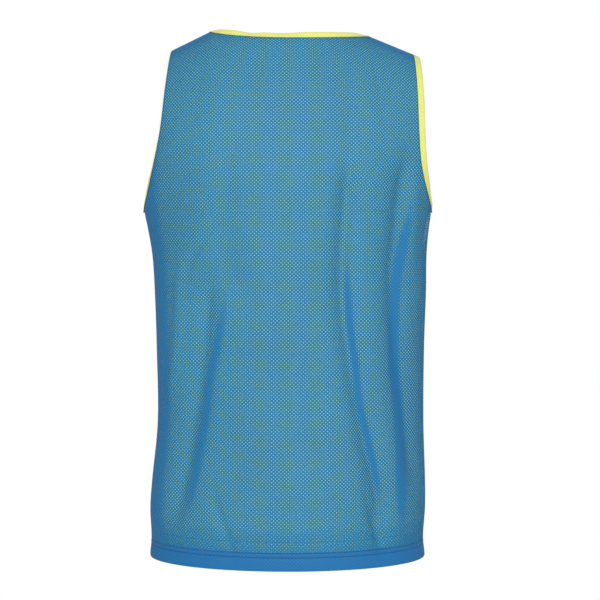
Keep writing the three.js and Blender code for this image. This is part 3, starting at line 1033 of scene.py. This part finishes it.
for panel in (BACK, FRONT):
    outer = joined(
        (0, net(panel, NET_LOW, net_depth, OUTER)),
        (1, hem_band(panel, HEM_SECTION)),
    )
    lining = joined(
        (0, net(panel, LINING_NET_LOW, lining_depth, INNER)),
        (1, hem_band(panel, LINING_HEM_SECTION)),
    )
    flip = panel is FRONT
    name = panel.depth
    shade = apart(panel, outer[0])
    piece = make_piece(f"{name}_net", *outer[:3], [blue_net, blue_hem], outer[3], flip, shade)
    fit(piece, "blue_mesh", f"{name}_panel")
    piece = make_piece(f"{name}_lining_net", *lining[:3], [shaded_yellow_net, shaded_yellow_hem], lining[3], flip)
    fit(piece, "yellow_mesh", f"{name}_lining")

EDGES = {
    "neck": Edging(neck_places(), BY_X, SHOULDER_NECK_Y, NECK_STANDS),
    "left_armhole": Edging(armhole_places(-1, BACK, FRONT), BY_Z, ALL_ROUND, LEFT_STANDS),
    "right_armhole": Edging(armhole_places(1, FRONT, BACK), BY_Z, ALL_ROUND, RIGHT_STANDS),
}
# Rows of stitches along each tape: how far off the edge and out of the cloth they lie
TapeLine = namedtuple("TapeLine", "label off out thread")
TAPE_LINES = [
    TapeLine("tape_stitches", 1.2, 0.62, yellow_thread),
    # The second row is a painted shadow line: dark green stitches on the net just off the tape's edge
    TapeLine("edge_stitches", -2.2, 0.1, shadow_green_thread),
]
for name, edging in EDGES.items():
    points, faces, uvs = tape(edging)
    piece = make_piece(f"{name}_tape", points, faces, uvs, [yellow_tape])
    fit(piece, "yellow_tape", f"{name}_binding")
    edge, normals, off, _ = edge_stations(edging.places)
    for row in TAPE_LINES:
        line = edge + off * row.off + normals * row.out
        made = stitches(line, normals, TAPE_SEWING)
        fit(make_piece(f"{name}_{row.label}", *made, None, [row.thread]), "yellow_tape")

# Rows of stitches along the hems, in the grooves of their sections, in a thread darkened as painted
# shade of the grooves
HemLine = namedtuple("HemLine", "name height depth slot")
HEM_LINES = [
    HemLine("hem_stitches_upper", 23.4, 0.75, "blue_mesh"),
    HemLine("hem_stitches_lower", 17.5, 0.55, "blue_mesh"),
    HemLine("lining_stitches", 37.6, 2.0, "yellow_mesh"),
]
HEM_THREAD_LIFT = 0.12
for row in HEM_LINES:
    line, normals = hem_line(row.height, row.depth, HEM_THREAD_LIFT)
    made = stitches(line, normals, HEM_SEWING)
    fit(make_piece(row.name, *made, None, [groove_shaded_blue_thread]), row.slot)

for name, seam in (
    ("left_side_seam", side_seam(-1)),
    ("right_side_seam", side_seam(1)),
    ("left_shoulder_seam", shoulder_seam(-1)),
    ("right_shoulder_seam", shoulder_seam(1)),
):
    line = cloth_point(BACK, *seam, np.full_like(seam[0], NET_DEPTH))
    made = cord(line, cloth_normal(BACK, *seam))
    fit(make_piece(name, *made, None, [blue_seam]), "blue_mesh")

# The fields of a sheet's cut size, width, length and area, with 10 mm for each seam and the turned-up
# hem; no sheet is given one
Cut = namedtuple("Cut", "width length area")


# Stage, light and camera
def stage_plane(name, size, z, colour):
    mesh = bpy.data.meshes.new(name)
    h = size / 2
    mesh.from_pydata([(-h, -h, z), (h, -h, z), (h, h, z), (-h, h, z)], [], [(0, 1, 2, 3)])
    plane = bpy.data.objects.new(name, mesh)
    material = Nodes(name, 0.9)
    material.feed(material.shader.inputs["Base Color"], (*colour, 1))
    mesh.materials.append(material.material)
    bpy.context.scene.collection.objects.link(plane)


def area_light(name, place, target, size, watts):
    data = bpy.data.lights.new(name, "AREA")
    data.size = size
    data.energy = watts
    lamp = bpy.data.objects.new(name, data)
    lamp.location = place
    aim = Vector(target) - Vector(place)
    lamp.rotation_euler = aim.to_track_quat("-Z", "Y").to_euler()
    bpy.context.scene.collection.objects.link(lamp)


def studio_world(name, glow, seen):
    """Soft light from all round, brighter from above, before a plain white that the camera sees."""
    world = bpy.data.worlds.new(name)
    world.use_nodes = True
    tree = world.node_tree
    place = tree.nodes.new("ShaderNodeTexCoord").outputs["Generated"]
    split = tree.nodes.new("ShaderNodeSeparateXYZ")
    tree.links.new(place, split.inputs[0])
    ramp = tree.nodes.new("ShaderNodeMapRange")
    for key, value in {"From Min": -1, "From Max": 1, "To Min": glow[0], "To Max": glow[1]}.items():
        ramp.inputs[key].default_value = value
    tree.links.new(split.outputs[2], ramp.inputs["Value"])
    path = tree.nodes.new("ShaderNodeLightPath").outputs["Is Camera Ray"]
    choose = tree.nodes.new("ShaderNodeMix")
    tree.links.new(path, choose.inputs[0])
    tree.links.new(ramp.outputs[0], choose.inputs[2])
    choose.inputs[3].default_value = seen
    background = tree.nodes["Background"]
    background.inputs["Color"].default_value = (1, 1, 1, 1)
    tree.links.new(choose.outputs[0], background.inputs["Strength"])
    return world


FLOOR_SIZE = 5
FLOOR_Z = -1.5
FLOOR_COLOUR = (0.9, 0.9, 0.9)
MIDDLE = (0, 0, -0.35)
KEY_PLACE = (0.1, -2.8, 0.6)
KEY_SIZE = 1.2
KEY_WATTS = 63
GLOW_BELOW_AND_ABOVE = (0.5, 0.62)
WHITE_SEEN = 1.0
stage_plane("floor", FLOOR_SIZE, FLOOR_Z, FLOOR_COLOUR)
area_light("key", KEY_PLACE, MIDDLE, KEY_SIZE, KEY_WATTS)
bpy.context.scene.world = studio_world("studio", GLOW_BELOW_AND_ABOVE, WHITE_SEEN)
bpy.context.scene.view_settings.view_transform = "Standard"

CAMERA_PLACE = (0.015, -2.3, -0.25)
CAMERA_PITCH = 2.53
FOCAL_PIXELS = 1703
SENSOR = 36
IMAGE = 600
camera = bpy.data.objects.new("camera", bpy.data.cameras.new("camera"))
camera.location = CAMERA_PLACE
camera.rotation_euler = (math.radians(90 - CAMERA_PITCH), 0, 0)
camera.data.sensor_width = SENSOR
camera.data.lens = FOCAL_PIXELS * SENSOR / IMAGE
bpy.context.scene.collection.objects.link(camera)
bpy.context.scene.camera = camera
